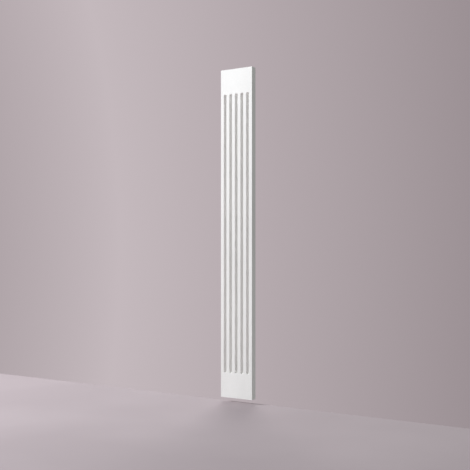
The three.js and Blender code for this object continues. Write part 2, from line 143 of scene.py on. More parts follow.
def set_world():
    """A pale mauve-grey surround, seen brighter than it lights, with painted light lighter on the
    key's side.
    """
    world = bpy.data.worlds.new("surround")
    bpy.context.scene.world = world
    world.use_nodes = True
    tree = world.node_tree
    tree.nodes.clear()
    way = node(tree, "ShaderNodeTexCoord").outputs["Generated"]
    across = node(tree, "ShaderNodeSeparateXYZ", {"Vector": way}).outputs["X"]
    # Painted light: the seen surround is lighter towards the key's side on the left and darker to
    # the right, as the key's fall-off across a wall would be.
    painted_key_falloff = spread(tree, across, 0, 1, (-0.75, -0.2))
    painted_key_falloff_tones = [(0.0, "#AFA4A8"), (0.2, "#C4B9BD"), (0.5, "#B3A8AC"), (0.9, "#9C9195")]
    tone = ramp(tree, painted_key_falloff, painted_key_falloff_tones)
    seen = node(tree, "ShaderNodeBackground", {"Color": tone, "Strength": 1.0})
    lit = node(tree, "ShaderNodeBackground", {
        "Color": linear("#EFF4F2"), "Strength": SURROUND_LIGHT,
    })
    path = node(tree, "ShaderNodeLightPath")
    both = node(tree, "ShaderNodeMixShader", {0: path.outputs["Is Camera Ray"]})
    tree.links.new(lit.outputs[0], both.inputs[1])
    tree.links.new(seen.outputs[0], both.inputs[2])
    node(tree, "ShaderNodeOutputWorld", {"Surface": both.outputs[0]})


# ---- materials ------------------------------------------------------------------------------

FINISHES = {}
MIX_FACTOR, MIX_A, MIX_B, MIX_RESULT = 0, 6, 7, 2  # a Mix node's sockets for colours


def new_finish(slot, name, colour, roughness, metallic=0.0):
    """A material for one slot, with its Principled shader set. Returns its tree and shader."""
    material = bpy.data.materials.new(name)
    material.use_nodes = True
    tree = material.node_tree
    tree.nodes.clear()
    shader = node(tree, "ShaderNodeBsdfPrincipled", {
        "Base Color": linear(colour), "Roughness": roughness, "Metallic": metallic,
    })
    node(tree, "ShaderNodeOutputMaterial", {"Surface": shader.outputs[0]})
    FINISHES[slot] = material
    return tree, shader


def pattern(tree, kind, size_mm, stretch=(1, 1, 1), **inputs):
    """A texture on Object coordinates whose features are about size_mm across."""
    place = node(tree, "ShaderNodeTexCoord").outputs["Object"]
    scaled = node(tree, "ShaderNodeMapping", {"Vector": place, "Scale": stretch})
    return node(tree, kind, {
        "Vector": scaled.outputs[0], "Scale": 1 / (size_mm * MM), **inputs,
    })


def ramp(tree, factor, stops):
    """A colour ramp through (place, hex colour) stops."""
    made = node(tree, "ShaderNodeValToRGB", {"Fac": factor})
    points = made.color_ramp.elements
    while len(points) < len(stops):
        points.new(0.5)
    for point, (place, colour) in zip(points, stops):
        point.position = place
        point.color = linear(colour)
    return made.outputs["Color"]


def spread(tree, factor, low, high, source=(0, 1)):
    """A factor moved from its source range to the range low to high."""
    return node(tree, "ShaderNodeMapRange", {
        "Value": factor,
        "From Min": source[0], "From Max": source[1],
        "To Min": low, "To Max": high,
    }).outputs[0]


def rough_bump(tree, shader, height, depth_mm):
    """Relief on a shader from a height pattern, depth_mm deep."""
    made = node(tree, "ShaderNodeBump", {
        "Height": height, "Strength": 1.0, "Distance": depth_mm * MM,
    })
    tree.links.new(made.outputs[0], shader.inputs["Normal"])


def cast_mineral():
    # Marble dust in white resin, cast and sanded: an even dry white with a faint cloud from the
    # pour, grains of dust too small to make out one by one, and a fine sanded tooth.
    tree, shader = new_finish("cast_mineral", "cast_marble_dust_sanded", "#F1F0ED", 0.5)
    shader.inputs["IOR"].default_value = 1.5
    cloud = pattern(tree, "ShaderNodeTexNoise", 160, (1, 1, 0.35), Detail=4.0, Roughness=0.55)
    grain = pattern(tree, "ShaderNodeTexNoise", 2.2, Detail=3.0, Roughness=0.6)
    base = ramp(tree, cloud.outputs["Fac"], [(0.3, "#EDECE9"), (0.7, "#F4F3F0")])
    speck = ramp(tree, grain.outputs["Fac"], [(0.3, "#E9E8E4"), (0.5, "#FFFFFF")])
    colour = node(tree, "ShaderNodeMix", {MIX_FACTOR: 0.35, MIX_A: base, MIX_B: speck},
                  data_type="RGBA", blend_type="MULTIPLY")
    tree.links.new(colour.outputs[MIX_RESULT], shader.inputs["Base Color"])
    gloss = spread(tree, grain.outputs["Fac"], 0.44, 0.58, (0.3, 0.7))
    tree.links.new(gloss, shader.inputs["Roughness"])
    tooth = pattern(tree, "ShaderNodeTexNoise", 0.9, Detail=2.0)
    rough_bump(tree, shader, tooth.outputs["Fac"], 0.02)


def metal(slot, name, colours, roughness, grain_mm, stretch, depth_mm):
    """A metal whose tone and gloss wander along its working direction."""
    tree, shader = new_finish(slot, name, colours[0], sum(roughness) / 2, 1.0)
    grain = pattern(tree, "ShaderNodeTexNoise", grain_mm, stretch, Detail=4.0, Roughness=0.6)
    fac = grain.outputs["Fac"]
    tone = ramp(tree, fac, [(0.3, colours[0]), (0.7, colours[1])])
    tree.links.new(tone, shader.inputs["Base Color"])
    tree.links.new(spread(tree, fac, *roughness, (0.3, 0.7)), shader.inputs["Roughness"])
    rough_bump(tree, shader, fac, depth_mm)
    return tree, shader


def galvanised_steel():
    # Hot-dip galvanised sheet: zinc crystals about 9 mm across, each its own grey and gloss.
    tree, shader = new_finish("galvanised_steel", "galvanised_sheet_spangle", "#A9AEB2", 0.42, 1.0)
    spangle = pattern(tree, "ShaderNodeTexVoronoi", 9.0)
    tone = node(tree, "ShaderNodeSeparateColor", {"Color": spangle.outputs["Color"]}).outputs[0]
    colour = ramp(tree, tone, [(0.0, "#989EA3"), (0.5, "#ACB1B5"), (1.0, "#C2C6C9")])
    tree.links.new(colour, shader.inputs["Base Color"])
    tree.links.new(spread(tree, tone, 0.34, 0.52), shader.inputs["Roughness"])
    film = pattern(tree, "ShaderNodeTexNoise", 3.0, Detail=3.0)
    rough_bump(tree, shader, film.outputs["Fac"], 0.02)


def powder_coated_steel():
    # Polyester powder coat, baked: soft white with an orange-peel ripple a millimetre or two wide.
    tree, shader = new_finish("powder_coated_steel", "powder_coat_white", "#E4E4E1", 0.38)
    peel = pattern(tree, "ShaderNodeTexNoise", 1.6, Detail=1.0)
    rough_bump(tree, shader, peel.outputs["Fac"], 0.03)
    film = pattern(tree, "ShaderNodeTexNoise", 40, Detail=2.0)
    tone = ramp(tree, film.outputs["Fac"], [(0.35, "#DFDFDC"), (0.65, "#E8E8E5")])
    tree.links.new(tone, shader.inputs["Base Color"])


def copper():
    # Drawn copper tube, handled and warmed: salmon metal with brown bloom and lines along the draw.
    tree, shader = metal(
        "copper", "drawn_copper_tube", ["#A9633F", "#C98A63"], (0.28, 0.46), 14, (1, 1, 0.5), 0.01)
    bright = shader.inputs["Base Color"].links[0].from_socket
    bloom = pattern(tree, "ShaderNodeTexNoise", 34, Detail=5.0, Roughness=0.65)
    tint = ramp(tree, bloom.outputs["Fac"], [(0.42, "#B88A70"), (0.6, "#FFFFFF")])
    darkened = node(tree, "ShaderNodeMix", {MIX_FACTOR: 0.7, MIX_A: bright, MIX_B: tint},
                    data_type="RGBA", blend_type="MULTIPLY")
    tree.links.new(darkened.outputs[MIX_RESULT], shader.inputs["Base Color"])


def plastic(slot, name, colours, roughness, grain_mm, depth_mm):
    """Moulded plastic or rubber: one colour, with slight flow marks and the mould's texture."""
    tree, shader = new_finish(slot, name, colours[0], roughness)
    flow = pattern(tree, "ShaderNodeTexNoise", 25, Detail=2.0)
    tone = ramp(tree, flow.outputs["Fac"], [(0.35, colours[0]), (0.65, colours[1])])
    tree.links.new(tone, shader.inputs["Base Color"])
    texture = pattern(tree, "ShaderNodeTexNoise", grain_mm, Detail=2.0)
    rough_bump(tree, shader, texture.outputs["Fac"], depth_mm)


def make_finishes():
    cast_mineral()
    galvanised_steel()
    powder_coated_steel()
    copper()
    # Extruded aluminium: die lines run up the profile.
    metal("aluminium", "extruded_aluminium", ["#B7BABD", "#CDD0D2"], (0.3, 0.45), 1.5,
          (1, 1, 0.02), 0.01)
    # Turned brass: fine rings too small to see, so it reads as an even satin yellow.
    metal("brass", "turned_brass", ["#B8934C", "#CBA862"], (0.26, 0.4), 2.5, (1, 1, 1), 0.01)
    # Hot-pressed brass, tumbled and nickel plated: warm grey with a soft pitted skin.
    metal("nickel_plated_brass", "nickel_on_pressed_brass", ["#B4B0A9", "#C6C2BB"], (0.27, 0.36),
          3.0, (1, 1, 1), 0.012)
    # Zinc-plated and passivated steel: blue-grey with a cloudy film.
    metal("zinc_screw", "zinc_plated_screw", ["#8F959C", "#B4B9BE"], (0.28, 0.42), 2.0,
          (1, 1, 1), 0.01)
    # Ground stainless rod: fine lines around it.
    metal("stainless_steel", "ground_stainless", ["#A6A7A8", "#BDBEBF"], (0.2, 0.3), 0.8,
          (1, 6, 6), 0.005)
    # White ABS with a spark-eroded mould texture.
    plastic("white_plastic", "moulded_abs_white", ["#E9E9E5", "#EFEFEC"], 0.42, 0.8, 0.02)
    # Grey nylon 6, slightly waxy.
    plastic("grey_nylon", "moulded_nylon_grey", ["#868B8F", "#92979B"], 0.5, 1.2, 0.02)
    # Black EPDM rubber, dusty matt.
    plastic("black_rubber", "moulded_epdm", ["#232324", "#2D2D2E"], 0.8, 0.7, 0.03)


# ---- making pieces --------------------------------------------------------------------------

MERGE = 2e-6  # metres between points that are one point
EASED_ANGLE = 40.0  # edges sharper than this, in degrees, are eased
AXES = {
    "x": Matrix.Rotation(math.pi / 2, 4, "Y"),
    "y": Matrix.Rotation(-math.pi / 2, 4, "X"),
    "z": Matrix.Identity(4),
}


def corners(*nodes):
    """The lowest and highest corner of some CAD nodes together, in mm."""
    boxes = [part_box(name) for name in nodes]
    low = Vector([min(b[0][i] for b in boxes) for i in range(3)]) / MM
    high = Vector([max(b[1][i] for b in boxes) for i in range(3)]) / MM
    return low, high


def middle(source):
    low, high = corners(source)
    return (low + high) / 2


def numbered(name, count):
    return [f"{name}_{n}" for n in range(1, count + 1)]


def to_piece(name, bm):
    """A bmesh in mm as an object in metres, with its faces turned out."""
    bmesh.ops.remove_doubles(bm, verts=bm.verts, dist=1e-4)
    bmesh.ops.recalc_face_normals(bm, faces=bm.faces)
    bmesh.ops.scale(bm, vec=(MM, MM, MM), verts=bm.verts)
    mesh = bpy.data.meshes.new(name)
    bm.to_mesh(mesh)
    bm.free()
    return new_object(name, mesh)


def turned(name, profile, axis="z", centre=(0, 0, 0), sides=72, ring=False, flats=math.inf):
    """A turned piece. profile holds (radius, place along the axis), and ring closes it on itself.

    flats is how far the six faces of a hexagon lie from the axis, where the piece has one.
    """
    bm = bmesh.new()
    rows = []
    for radius, along in profile:
        row = []
        for i in range(sides if radius > 0 else 1):
            angle = TURN * i / sides
            reach = min(radius, flats / math.cos(angle % (TURN / 6) - TURN / 12))
            row.append(bm.verts.new((reach * math.cos(angle), reach * math.sin(angle), along)))
        rows.append(row)
    pairs = list(zip(rows, rows[1:]))
    if ring:
        pairs.append((rows[-1], rows[0]))
    for a, b in pairs:
        for i in range(sides):
            j = i + 1
            corner = [a[i % len(a)], a[j % len(a)], b[j % len(b)], b[i % len(b)]]
            face = list(dict.fromkeys(corner))
            if len(face) > 2:
                bm.faces.new(face)
    bm.transform(Matrix.Translation(centre) @ AXES[axis])
    return to_piece(name, bm)


def block(name, low, high):
    bm = bmesh.new()
    bmesh.ops.create_cube(bm, size=1.0)
    size = Vector(high) - Vector(low)
    bm.transform(Matrix.Translation((Vector(low) + Vector(high)) / 2) @ Matrix.Diagonal((*size, 1)))
    return to_piece(name, bm)


def settle(piece):
    """Turns a piece's live modifiers into its mesh."""
    graph = bpy.context.evaluated_depsgraph_get()
    mesh = bpy.data.meshes.new_from_object(piece.evaluated_get(graph))
    piece.modifiers.clear()
    piece.data = mesh
    return piece


def combine(piece, others, operation):
    """Cuts other pieces out of a piece, or joins them to it, and uses them up."""
    for other in others:
        change = piece.modifiers.new("combine", "BOOLEAN")
        change.operation = operation
        change.solver = "EXACT"
        change.object = other
    settle(piece)
    for other in others:
        bpy.data.objects.remove(other)
    return piece


def ease(piece, width, segments=2):
    """Eases a piece's sharp edges by width mm and shades it smooth, its flat faces kept flat."""
    mesh = piece.data
    bm = bmesh.new()
    bm.from_mesh(mesh)
    bmesh.ops.remove_doubles(bm, verts=bm.verts, dist=MERGE)
    bm.to_mesh(mesh)
    bm.free()
    mesh.polygons.foreach_set("use_smooth", [True] * len(mesh.polygons))
    change = piece.modifiers.new("ease", "BEVEL")
    change.width = width * MM
    change.segments = segments
    change.limit_method = "ANGLE"
    change.angle_limit = math.radians(EASED_ANGLE)
    change.miter_outer = "MITER_ARC"
    weigh = piece.modifiers.new("weigh", "WEIGHTED_NORMAL")
    weigh.weight = 100
    return settle(piece)


def shade(piece, angle=35.0):
    """Shades a piece smooth except at edges sharper than angle degrees."""
    mesh = piece.data
    mesh.polygons.foreach_set("use_smooth", [True] * len(mesh.polygons))
    mesh.set_sharp_from_angle(angle=math.radians(angle))
    return piece


def hand_over(piece, slot, nodes, body=FIXED):
    """Gives a piece its finish and its body, and hides the CAD nodes it stands for."""
    piece.data.materials.clear()
    piece.data.materials.append(FINISHES[slot])
    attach(piece, body)
    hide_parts(*nodes)


def copied(name, source):
    """A CAD node's shape as a new piece, its doubles merged and its flat triangles joined."""
    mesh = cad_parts[source].data.copy()
    bm = bmesh.new()
    bm.from_mesh(mesh)
    bmesh.ops.remove_doubles(bm, verts=bm.verts, dist=MERGE)
    bmesh.ops.dissolve_limit(bm, angle_limit=math.radians(0.5), verts=bm.verts, edges=bm.edges)
    bm.to_mesh(mesh)
    bm.free()
    return new_object(name, mesh)


# ---- Geometry Nodes trees -------------------------------------------------------------------


def start_tree(name, sockets):
    """A Geometry Nodes tree with named inputs. Returns the tree and the inputs inside it."""
    tree = bpy.data.node_groups.new(name, "GeometryNodeTree")
    for label, kind in sockets.items():
        tree.interface.new_socket(label, in_out="INPUT", socket_type="NodeSocket" + kind)
    return tree, node(tree, "NodeGroupInput").outputs


def end_tree(tree, shape, finish):
    """Ends a tree with its copies made real and its finish set."""
    whole = node(tree, "GeometryNodeRealizeInstances", {"Geometry": shape})
    coated = node(tree, "GeometryNodeSetMaterial", {
        "Geometry": whole.outputs[0], "Material": finish,
    })
    tree.interface.new_socket("Shape", in_out="OUTPUT", socket_type="NodeSocketGeometry")
    node(tree, "NodeGroupOutput", {"Shape": coated.outputs[0]})
    return tree


def capsule(tree, segments, rings, radius, length):
    """A ball parted at its equator and stretched along Z, where an odd count of rings has none."""
    ball = node(tree, "GeometryNodeMeshUVSphere", {
        "Segments": segments, "Rings": rings, "Radius": radius,
    })
    place = node(tree, "GeometryNodeInputPosition").outputs[0]
    height = node(tree, "ShaderNodeSeparateXYZ", {"Vector": place}).outputs["Z"]
    side = node(tree, "ShaderNodeMath", {0: height}, operation="SIGN").outputs[0]
    half = node(tree, "ShaderNodeMath", {0: length, 1: 0.5}, operation="MULTIPLY").outputs[0]
    shift = node(tree, "ShaderNodeMath", {0: side, 1: half}, operation="MULTIPLY").outputs[0]
    offset = node(tree, "ShaderNodeCombineXYZ", {"Z": shift}).outputs[0]
    return node(tree, "GeometryNodeSetPosition", {
        "Geometry": ball.outputs["Mesh"], "Offset": offset,
    }).outputs[0]


def cut_at(tree, shape, points, cutter, turn=(0, 0, 0)):
    """Cuts the cutter out of a shape at every point."""
    rows = node(tree, "GeometryNodeInstanceOnPoints", {
        "Points": points, "Instance": cutter, "Rotation": turn,
    })
    cutters = node(tree, "GeometryNodeRealizeInstances", {"Geometry": rows.outputs[0]})
    return node(tree, "GeometryNodeMeshBoolean", {
        "Mesh 1": shape, "Mesh 2": cutters.outputs[0],
    }, operation="DIFFERENCE").outputs["Mesh"]


def run_tree(piece, tree, values):
    """Runs a Geometry Nodes tree on a piece with its named inputs set, and settles the result."""
    change = piece.modifiers.new(tree.name, "NODES")
    change.node_group = tree
    for item in tree.interface.items_tree:
        if item.in_out == "INPUT" and item.name in values:
            change[item.identifier] = values[item.name]
    return settle(piece)


# ---- fluted slab ----------------------------------------------------------------------------

FLUTES = 5
FLUTE_PITCH = 39.6
FLUTE_RADIUS = 10.6
FLUTE_DEPTH = 10.0
PLAIN_END = 150.0
SLAB_ARRIS = 0.9
CLEAR = 1.0  # room around what lies in a pocket
KEY_HOLE = 6.0  # radius of the holes in the bottom edge, under the two spindles


def flute_tree():
    """Cuts evenly spaced ball-ended flutes out of a slab, by the sizes on its inputs."""
    tree, given = start_tree("ball_ended_flutes", {
        "Slab": "Geometry", "Pitch": "Float", "Radius": "Float", "Straight length": "Float",
        "Count": "Int", "First flute": "Vector", "Finish": "Material",
    })
    cutter = capsule(tree, 72, 41, given["Radius"], given["Straight length"])
    step = node(tree, "ShaderNodeCombineXYZ", {"X": given["Pitch"]})
    line = node(tree, "GeometryNodeMeshLine", {
        "Count": given["Count"], "Start Location": given["First flute"], "Offset": step.outputs[0],
    })
    return end_tree(tree, cut_at(tree, given["Slab"], line.outputs[0], cutter), given["Finish"])


def fluted_slab():
    low, high = corners("front_slab")
    slab = block("fluted_slab", low, high)
    stand = FLUTE_RADIUS - FLUTE_DEPTH
    half_width = math.sqrt(FLUTE_RADIUS ** 2 - stand ** 2)
    first = Vector((-FLUTE_PITCH * (FLUTES - 1) / 2, low.y - stand, (low.z + high.z) / 2))
    run_tree(slab, flute_tree(), {
        "Pitch": FLUTE_PITCH * MM,
        "Radius": FLUTE_RADIUS * MM,
        "Straight length": (high.z - low.z - 2 * PLAIN_END - 2 * half_width) * MM,
        "Count": FLUTES,
        "First flute": first * MM,
        "Finish": FINISHES["cast_mineral"],
    })
    back = high.y + 1
    cutters = []

    def pocket(nodes, clear=CLEAR, to_left_edge=False):
        """A pocket in the slab's back that takes some nodes, open at the left edge if asked."""
        a, b = corners(*nodes)
        a, b = a - Vector((clear,) * 3), b + Vector((clear,) * 3)
        if to_left_edge:
            a.x = low.x - 1
        b.y = back
        cutters.append(block("pocket", a, b))

    pocket(["top_header", "vent_bush", "header_plug"], to_left_edge=True)
    pocket(["flow_header", "return_header"])
    pocket(["flow_union_nut", "return_union_nut"], 3)
    pocket(["valve_block", "thermostatic_head"], to_left_edge=True)
    for channel, hanger in zip(numbered("heat_channel", 4), numbered("hanger_plate", 4)):
        pocket([channel], 0.4)
        pocket([hanger], 0.5)
    for rail in ("upper_wall_rail", "lower_wall_rail"):
        a, b = corners(rail)
        level = middle(rail).z
        for hook_x in (17 - b.x, b.x - 17):
            room = [(hook_x - 10, a.y - 1, level - 16), (hook_x + 10, back, level + 15)]
            cutters.append(block("hook_room", *room))
    for line in ("flow", "return"):
        at = middle(f"{line}_shutoff_spindle")
        top = corners(f"{line}_shutoff_spindle")[0].z + 2
        profile = [(0, low.z - 1), (KEY_HOLE, low.z - 1), (KEY_HOLE, top), (0, top)]
        cutters.append(turned("key_hole", profile, "z", (at.x, at.y, 0), 48))
    combine(slab, cutters, "DIFFERENCE")
    ease(slab, SLAB_ARRIS, 3)
    hand_over(slab, "cast_mineral", ["front_slab"])


# ---- sheet metal ----------------------------------------------------------------------------


def sheet_metal():
    for name, source, slot, width in [
        ("rear_sheet", "back_plate", "galvanised_steel", 0.25),
        ("upper_rail", "upper_wall_rail", "powder_coated_steel", 0.5),
        ("lower_rail", "lower_wall_rail", "powder_coated_steel", 0.5),
        *[(f"hanger_{n}", f"hanger_plate_{n}", "galvanised_steel", 0.4) for n in range(1, 5)],
    ]:
        piece = ease(copied(name, source), width)
        hand_over(piece, slot, [source])


# ---- screws, plugs and buffers --------------------------------------------------------------


def set_out_tree():
    """Puts one copy of a pattern piece on every point of a mesh, each turned by its own amount."""
    tree, given = start_tree("set_out_on_points", {
        "Points": "Geometry", "Pattern piece": "Object", "Most turn": "Float", "Seed": "Int",
        "Finish": "Material",
    })
    piece = node(tree, "GeometryNodeObjectInfo", {"Object": given["Pattern piece"]})
    turn = node(tree, "FunctionNodeRandomValue", {3: given["Most turn"], "Seed": given["Seed"]},
                data_type="FLOAT")
    about_y = node(tree, "ShaderNodeCombineXYZ", {"Y": turn.outputs[1]})
    copies = node(tree, "GeometryNodeInstanceOnPoints", {
        "Points": given["Points"],
        "Instance": piece.outputs["Geometry"],
        "Rotation": about_y.outputs[0],
    })
    return end_tree(tree, copies.outputs[0], given["Finish"])


def set_out(name, tree, sources, slot, pattern_piece, seat, most_turn=0.0, seed=1):
    """Copies of a pattern piece, made around the origin along Y, on the middles of some nodes."""
    points = bpy.data.meshes.new(name)
    places = [middle(source) for source in sources]
    points.from_pydata([(p.x * MM, seat * MM, p.z * MM) for p in places], [], [])
    piece = new_object(name, points)
    run_tree(piece, tree, {
        "Pattern piece": pattern_piece, "Most turn": most_turn, "Seed": seed,
        "Finish": FINISHES[slot],
    })
    hand_over(shade(piece), slot, sources)
    bpy.data.objects.remove(pattern_piece)


def thread(radius, depth, pitch, start, end):
    """Profile points of a screw thread, drawn as rings, from start towards end."""
    way = 1 if end > start else -1
    turns = int(abs(end - start) / pitch)
    points = []
    for n in range(turns):
        base = start + way * n * pitch
        points.append((radius - depth, base))
        points += [(radius, base + way * pitch * part) for part in (0.45, 0.55)]
    return [*points, (radius - depth, start + way * pitch * turns)]


def pan_screw(head, height, shank, length, pitch, towards):
    """A pan-head screw about the origin along Y: seat at 0, shank towards -Y or +Y, hex socket."""
    crown = 0.35 * height
    tip = length - 1.5 * shank
    screw = [
        (0, -height), (head * 0.55, -height), (head * 0.85, -height + crown * 0.35),
        (head, -height + crown), (head, -0.25), (head - 0.25, 0), (shank, 0),
        *thread(shank, shank * 0.22, pitch, 1.0, tip), (0, length),
    ]
    across = head * 0.42
    socket = [(0, -height - 1), (across, -height - 1), (across, -height * 0.35), (0, -height * 0.2)]
    screw, socket = [[(r, towards * along) for r, along in part] for part in (screw, socket)]
    cutter = turned("socket", socket, "y", sides=6)
    return combine(turned("pattern", screw, "y", sides=40), [cutter], "DIFFERENCE")


def fasteners():
    tree = set_out_tree()
    # Each row: head radius and height, shank radius, length and thread pitch, then which way the
    # screw points, how far its seat lies in from its far edge, and a seed for its turn.
    for name, source, count, sizes, towards, seat, seed in [
        ("hanger_screws", "hanger_screw", 8, (4.4, 2.3, 2.4, 15.5, 1.0), -1, 2.4, 3),
        ("rear_sheet_screws", "back_plate_screw", 6, (3.5, 1.9, 1.65, 9.2, 0.8), -1, 2, 5),
        ("wall_screws", "wall_screw", 4, (6.4, 3.9, 2.9, 47.5, 2.4), 1, 4, 7),
    ]:
        sources = numbered(source, count)
        low, high = corners(*sources)
        seat_y = low.y + seat if towards > 0 else high.y - seat
        screw = pan_screw(*sizes, towards)
        set_out(name, tree, sources, "zinc_screw", screw, seat_y, TURN, seed)
    plugs = numbered("wall_plug", 4)
    low, high = corners(*plugs)
    set_out("wall_plugs", tree, plugs, "grey_nylon", wall_plug(low.y, high.y), 0)
    buffers = ["wall_buffer_left", "wall_buffer_right"]
    low, high = corners(*buffers)
    set_out("wall_buffers", tree, buffers, "black_rubber", buffer(high.y - low.y), low.y)


def wall_plug(start, end):
    """A ribbed nylon plug, slit from its middle to its far end."""
    outer = [(3.3, start), (4.9, start), (4.9, start + 6)]
    for n in range(10):
        base = start + 7 + 4 * n
        outer += [(4.1, base), (4.9, base + 2.6), (4.9, base + 3.0)]
    plug = turned("pattern", [*outer, (3.9, end), (3.3, end)], "y", sides=40, ring=True)
    slit = block("slit", (-0.6, start + 18, -6), (0.6, end + 1, 6))
    return combine(plug, [slit], "DIFFERENCE")


def buffer(height):
    """A domed rubber foot with a dimple, its flat side on the sheet."""
    profile = [
        (0, 0), (8.6, 0), (9, 0.4), (9, height - 2.2), (8.4, height - 0.8), (7, height),
        (3, height), (2.2, height - 0.9), (0, height - 1.2),
    ]
    return turned("pattern", profile, "y", sides=48)


# ---- copper register ------------------------------------------------------------------------

RISER, RISER_BORE = 6.0, 5.0  # radii
CROSS, CROSS_BORE = 9.0, 8.0


def tube_profile(outer, inner, start, end):
    return [
        (inner, start), (outer - 0.2, start), (outer, start + 0.2),
        (outer, end - 0.2), (outer - 0.2, end), (inner, end),
    ]


def braze(x, y, z, way):
    """The ring of brazing metal where a riser or a tail enters a cross tube, above it or below."""
    profile = [(5.9, 7.6), (7.6, 7.9), (7.1, 9.0), (6.3, 9.7), (5.9, 10.2)]
    profile = [(r, z + way * along) for r, along in profile]
    return turned("ring", profile, "z", (x, y, 0), 48, ring=True)


def upright_tube(name, source):
    at = middle(source)
    low, high = corners(source)
    span = tube_profile(RISER, RISER_BORE, low.z, high.z)
    tube = turned(name, span, "z", (at.x, at.y, 0), ring=True)
    hand_over(shade(tube), "copper", [source])


def register():
    at = middle("top_header")
    low, high = corners("top_header")
    span = tube_profile(CROSS, CROSS_BORE, low.x, high.x)
    top = turned("top_cross_tube", span, "x", (0, at.y, at.z), ring=True)
    hand_over(shade(top), "copper", ["top_header"])
    risers = numbered("riser", 4)
    for line, side in (("flow", -1), ("return", 1)):
        at = middle(f"{line}_header")
        low, high = corners(f"{line}_header")
        capped = [
            (0, low.x), (7.6, low.x), (8.6, low.x + 0.4), (CROSS, low.x + 1.4),
            (CROSS, high.x - 1.4), (8.6, high.x - 0.4), (7.6, high.x), (0, high.x),
        ]
        cross = turned(f"{line}_cross_tube", capped, "x", (0, at.y, at.z))
        above = [middle(riser).x for riser in risers if middle(riser).x * side > 0]
        rings = [braze(x, at.y, at.z, 1) for x in above]
        rings.append(braze(middle(f"{line}_tail").x, at.y, at.z, -1))
        combine(cross, rings, "UNION")
        hand_over(shade(cross), "copper", [f"{line}_header"])
        upright_tube(f"{line}_tail_tube", f"{line}_tail")
    for n, riser in enumerate(risers, 1):
        upright_tube(f"riser_tube_{n}", riser)
    at = middle("header_plug")
    low, high = corners("header_plug")
    cap = [
        (0, low.x), (7.6, low.x), (7.6, high.x - 2), (8.7, high.x - 2), (CROSS, high.x - 1.7),
        (CROSS, high.x - 0.6), (8.4, high.x), (0, high.x),
    ]
    hand_over(shade(turned("cross_tube_cap", cap, "x", (0, at.y, at.z))), "copper", ["header_plug"])


# ---- valve block and its parts --------------------------------------------------------------

UNION_HEX = 12.5  # radii to the corners of the hexagons
INSERT_HEX = 13.0
VENT_HEX = 9.0
NIPPLE = 13.0  # radius
NUT = 14.4


def hexagon(corner, start, end):
    """Profile points of a hexagon from start to end, with its corners chamfered."""
    inner = 0.84 * corner
    rise = (corner - inner) * math.tan(math.radians(30))
    steps = [(inner + (corner - inner) * k / 4, rise * k / 4) for k in range(5)]
    near = [(r, start + along) for r, along in steps]
    far = [(r, end - along) for r, along in reversed(steps)]
    return near + far


def flats_of(corner):
    return corner * math.cos(TURN / 12)


def valve_block():
    low, high = corners("valve_block")
    tails = [middle(f"{line}_tail") for line in ("flow", "return")]
    head = middle("thermostatic_head")
    rear = 2 * tails[0].y - low.y
    body = block("twin_pipe_block", low, (high.x, rear, high.z))
    ease(body, 3.0, 4)
    root = rear - 2
    profile = [
        (0, root), (NIPPLE, root), (NIPPLE, rear + 1.2), (NIPPLE - 0.8, rear + 1.6),
        *thread(NIPPLE, 1.1, 1.8, rear + 1.8, high.y - 1), (11.6, high.y), (0, high.y),
    ]
    nipples = [turned("nipple", profile, "y", (tail.x, 0, head.z), 64) for tail in tails]
    combine(body, nipples, "UNION")
    cone = [(0, rear - 4), (5.5, rear - 4), (5.5, high.y - 3), (8.6, high.y + 1), (0, high.y + 1)]
    socket = [
        (0, high.z - 9), (6.3, high.z - 9), (6.3, high.z - 1), (7.3, high.z + 1), (0, high.z + 1),
    ]
    key = [(0, low.z - 1), (6.0, low.z - 1), (5.2, low.z + 1), (5.2, low.z + 12), (0, low.z + 12)]
    port = [(0, low.x - 1), (9, low.x - 1), (9, low.x + 13), (0, low.x + 13)]
    drills = []
    for tail in tails:
        drills.append(turned("cone_seat", cone, "y", (tail.x, 0, head.z), 64))
        drills.append(turned("tail_socket", socket, "z", (tail.x, tail.y, 0), 64))
        drills.append(turned("spindle_bore", key, "z", (tail.x, tail.y, 0), 64))
    drills.append(turned("insert_port", port, "x", (0, head.y, head.z), 64))
    combine(body, drills, "DIFFERENCE")
    hand_over(ease(body, 0.3), "nickel_plated_brass", ["valve_block"])


def compression_nut(line):
    source = f"{line}_union_nut"
    at = middle(source)
    low, high = corners(source)
    profile = [
        (6.3, low.z), *hexagon(UNION_HEX, low.z, high.z - 2.5),
        (9.8, high.z - 2.4), (9.8, high.z - 1.2), (8.6, high.z), (6.3, high.z),
    ]
    nut = turned(f"{line}_compression_nut", profile, "z", (at.x, at.y, 0), ring=True,
                 flats=flats_of(UNION_HEX))
    hand_over(shade(nut, 25), "nickel_plated_brass", [source])


def key_spindle(line):
    """A shut-off spindle with a ring groove near its top and a screwdriver slot below."""
    source = f"{line}_shutoff_spindle"
    at = middle(source)
    low, high = corners(source)
    profile = [
        (0, low.z), (4.5, low.z), (5, low.z + 0.5), (5, high.z - 5), (4.2, high.z - 4.6),
        (4.2, high.z - 3.4), (5, high.z - 3), (5, high.z - 0.4), (4.6, high.z), (0, high.z),
    ]
    spindle = turned(f"{line}_key_spindle", profile, "z", (at.x, at.y, 0))
    slot = block("slot", (at.x - 0.8, at.y - 6, low.z - 1), (at.x + 0.8, at.y + 6, low.z + 2.5))
    combine(spindle, [slot], "DIFFERENCE")
    hand_over(shade(spindle, 25), "brass", [source], f"{line}_shutoff")


